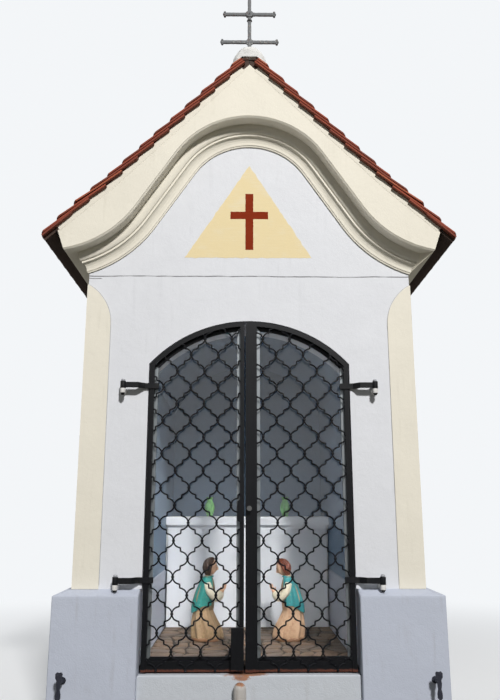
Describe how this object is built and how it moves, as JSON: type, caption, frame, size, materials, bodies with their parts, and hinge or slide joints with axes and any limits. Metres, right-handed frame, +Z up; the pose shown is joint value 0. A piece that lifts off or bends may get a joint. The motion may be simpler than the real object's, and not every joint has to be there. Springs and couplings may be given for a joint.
{
  "type": "wayside shrine",
  "caption": "Rendered masonry wayside chapel with a curved gable cornice, tiled roof, iron cross and a pair of glazed wrought-iron gate leaves.",
  "frame": {"origin": "on the ground under the middle of the plan", "axes": "+Z up, the gate side faces -Y, +X to the right of a person who faces the gate"},
  "size_m": [2.6644, 2.71, 5.1323],
  "materials": {
    "plinth_render": "matt blue-grey painted render",
    "apron_render": "matt light grey painted render with rust stains",
    "floor_stone": "irregular brown-grey stone slabs",
    "wall_render": "matt white-grey lime render",
    "cream_render": "matt cream lime render",
    "roof_board": "dark stained boards",
    "clay_tile": "unglazed red clay tiles",
    "cap_mortar": "whitewashed mortar",
    "weathered_iron": "weathered grey iron",
    "linen": "white linen",
    "figure_paint": "carved wood, painted in several colours",
    "green_glaze": "pale green glaze",
    "gate_steel": "satin anthracite paint",
    "sash_metal": "satin grey",
    "clear_glass": "clear window glass"
  },
  "bodies": {
    "shrine": {"plinth_left": "plinth_render", "plinth_right": "plinth_render", "plinth_back": "plinth_render", "apron_wall": "apron_render", "stop_post": "apron_render", "floor_bed": "floor_stone", "floor_slabs": "floor_stone", "front_pier_left": "wall_render", "front_pier_right": "wall_render", "front_wall_head": "wall_render", "side_wall_left": "wall_render", "side_wall_right": "wall_render", "back_wall": "wall_render", "room_vault": "wall_render", "corner_strips": "cream_render", "gable_front": "cream_render", "gable_back": "cream_render", "cornice_front": "cream_render", "cornice_back": "cream_render", "cornice_left": "cream_render", "cornice_right": "cream_render", "eaves_block_left": "cream_render", "eaves_block_right": "cream_render", "roof_boards_left": "roof_board", "roof_boards_right": "roof_board", "roof_tiles_left": "clay_tile", "roof_tiles_right": "clay_tile", "ridge_tiles": "clay_tile", "finial_cap": "cap_mortar", "finial_cross": "weathered_iron", "altar_table": "wall_render", "altar_cloth": "linen", "figure_left": "figure_paint", "figure_right": "figure_paint", "vase_left": "green_glaze", "vase_right": "green_glaze", "pintles_left": "gate_steel", "pintles_right": "gate_steel", "gate_catches": "gate_steel"},
    "gate_left": {"leaf_frame_left": "gate_steel", "leaf_sash_left": "sash_metal", "leaf_glass_left": "clear_glass", "grille_left": "gate_steel", "straps_left": "gate_steel", "lock_left": "gate_steel", "bolt_box": "gate_steel"},
    "gate_right": {"leaf_frame_right": "gate_steel", "leaf_sash_right": "sash_metal", "leaf_glass_right": "clear_glass", "grille_right": "gate_steel", "straps_right": "gate_steel", "lock_right": "gate_steel", "cover_strip": "gate_steel"}
  },
  "joints": [
    {"name": "gate_left_hinge", "type": "hinge", "parent": "shrine", "child": "gate_left", "pos_m": [-0.775, -1.205, 1.2], "axis": [0, 0, -1], "range_deg": [0, 160]},
    {"name": "gate_right_hinge", "type": "hinge", "parent": "shrine", "child": "gate_right", "pos_m": [0.775, -1.205, 1.2], "axis": [0, 0, 1], "range_deg": [0, 160]}
  ]
}
